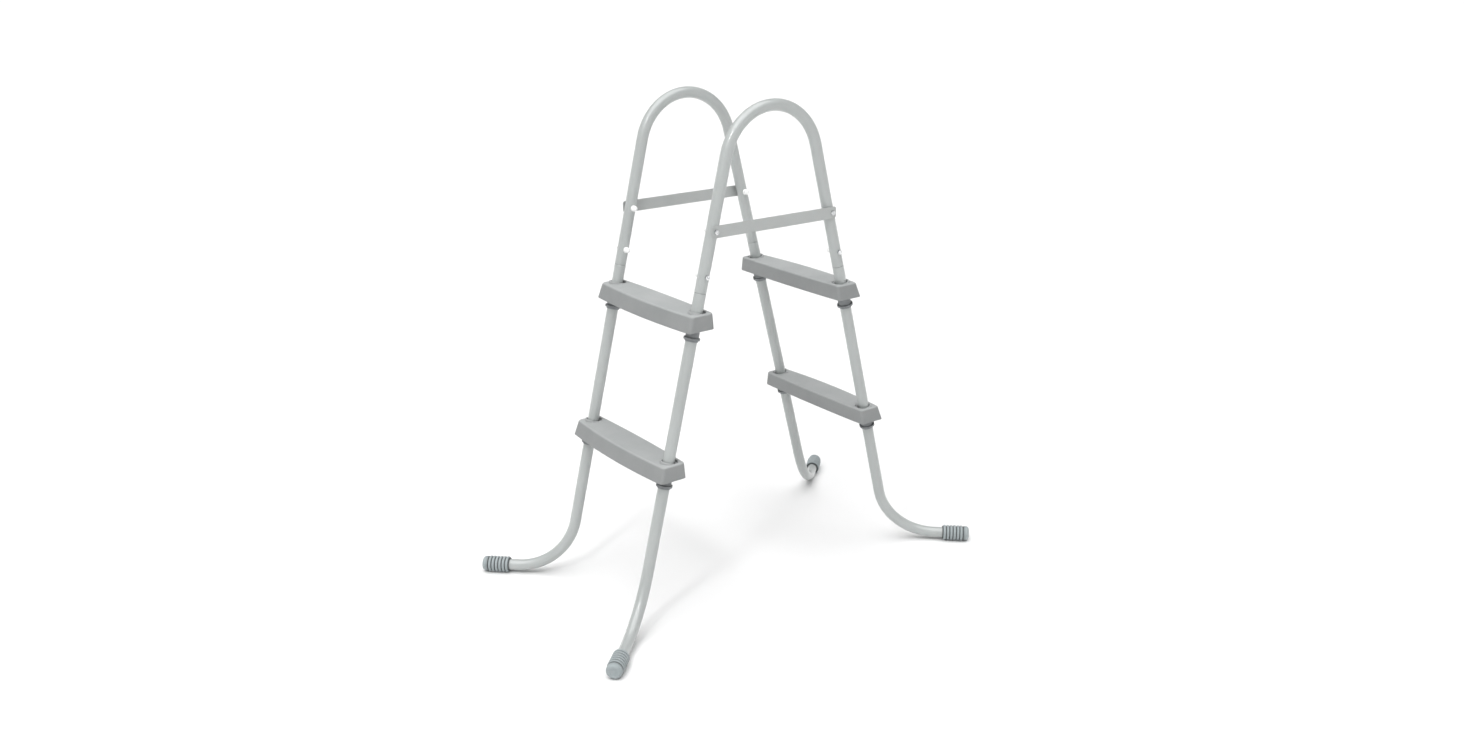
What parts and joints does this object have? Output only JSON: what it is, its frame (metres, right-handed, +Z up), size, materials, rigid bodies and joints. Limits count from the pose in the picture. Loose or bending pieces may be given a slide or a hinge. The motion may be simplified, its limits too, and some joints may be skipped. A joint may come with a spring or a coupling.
{
  "type": "pool ladder",
  "caption": "A-frame pool ladder of bent tube with bowed handrails, moulded treads on both faces, flat side straps and ribbed boots, for climbing over an above-ground pool wall.",
  "frame": {"origin": "on the ground, at the centre of the bottom of the overall box", "axes": "+Z up, X across the pool wall with the front face at -X, Y along the treads with the right side at -Y"},
  "size_m": [1.0482, 0.6114, 1.1069],
  "materials": {
    "tube_coating": "light grey powder coat, semi-gloss",
    "strap_coating": "light grey powder coat on flat steel strap",
    "tread_plastic": "mid grey moulded plastic, fine grained",
    "collar_plastic": "darker grey moulded plastic",
    "boot_rubber": "blue-grey soft vinyl rubber",
    "zinc_plate": "bright zinc plate",
    "cap_plastic": "white plastic"
  },
  "bodies": {
    "root": {"handrail_left": "tube_coating", "handrail_right": "tube_coating", "leg_front_left": "tube_coating", "leg_front_right": "tube_coating", "leg_rear_left": "tube_coating", "leg_rear_right": "tube_coating", "boot_front_left": "boot_rubber", "boot_front_right": "boot_rubber", "boot_rear_left": "boot_rubber", "boot_rear_right": "boot_rubber", "strap_left": "strap_coating", "strap_right": "strap_coating", "tread_front_upper": "tread_plastic", "tread_front_lower": "tread_plastic", "tread_rear_upper": "tread_plastic", "tread_rear_lower": "tread_plastic", "collar_front_upper_left_inside": "collar_plastic", "collar_front_upper_left_outside": "collar_plastic", "collar_front_upper_right_inside": "collar_plastic", "collar_front_upper_right_outside": "collar_plastic", "collar_front_lower_left_inside": "collar_plastic", "collar_front_lower_left_outside": "collar_plastic", "collar_front_lower_right_inside": "collar_plastic", "collar_front_lower_right_outside": "collar_plastic", "collar_rear_upper_left_inside": "collar_plastic", "collar_rear_upper_left_outside": "collar_plastic", "collar_rear_upper_right_inside": "collar_plastic", "collar_rear_upper_right_outside": "collar_plastic", "collar_rear_lower_left_inside": "collar_plastic", "collar_rear_lower_left_outside": "collar_plastic", "collar_rear_lower_right_inside": "collar_plastic", "collar_rear_lower_right_outside": "collar_plastic", "strap_bolts": "zinc_plate", "strap_nuts": "zinc_plate", "strap_nut_caps": "cap_plastic", "splice_bolts": "zinc_plate", "splice_nuts": "zinc_plate", "splice_nut_caps": "cap_plastic"}
  },
  "joints": []
}
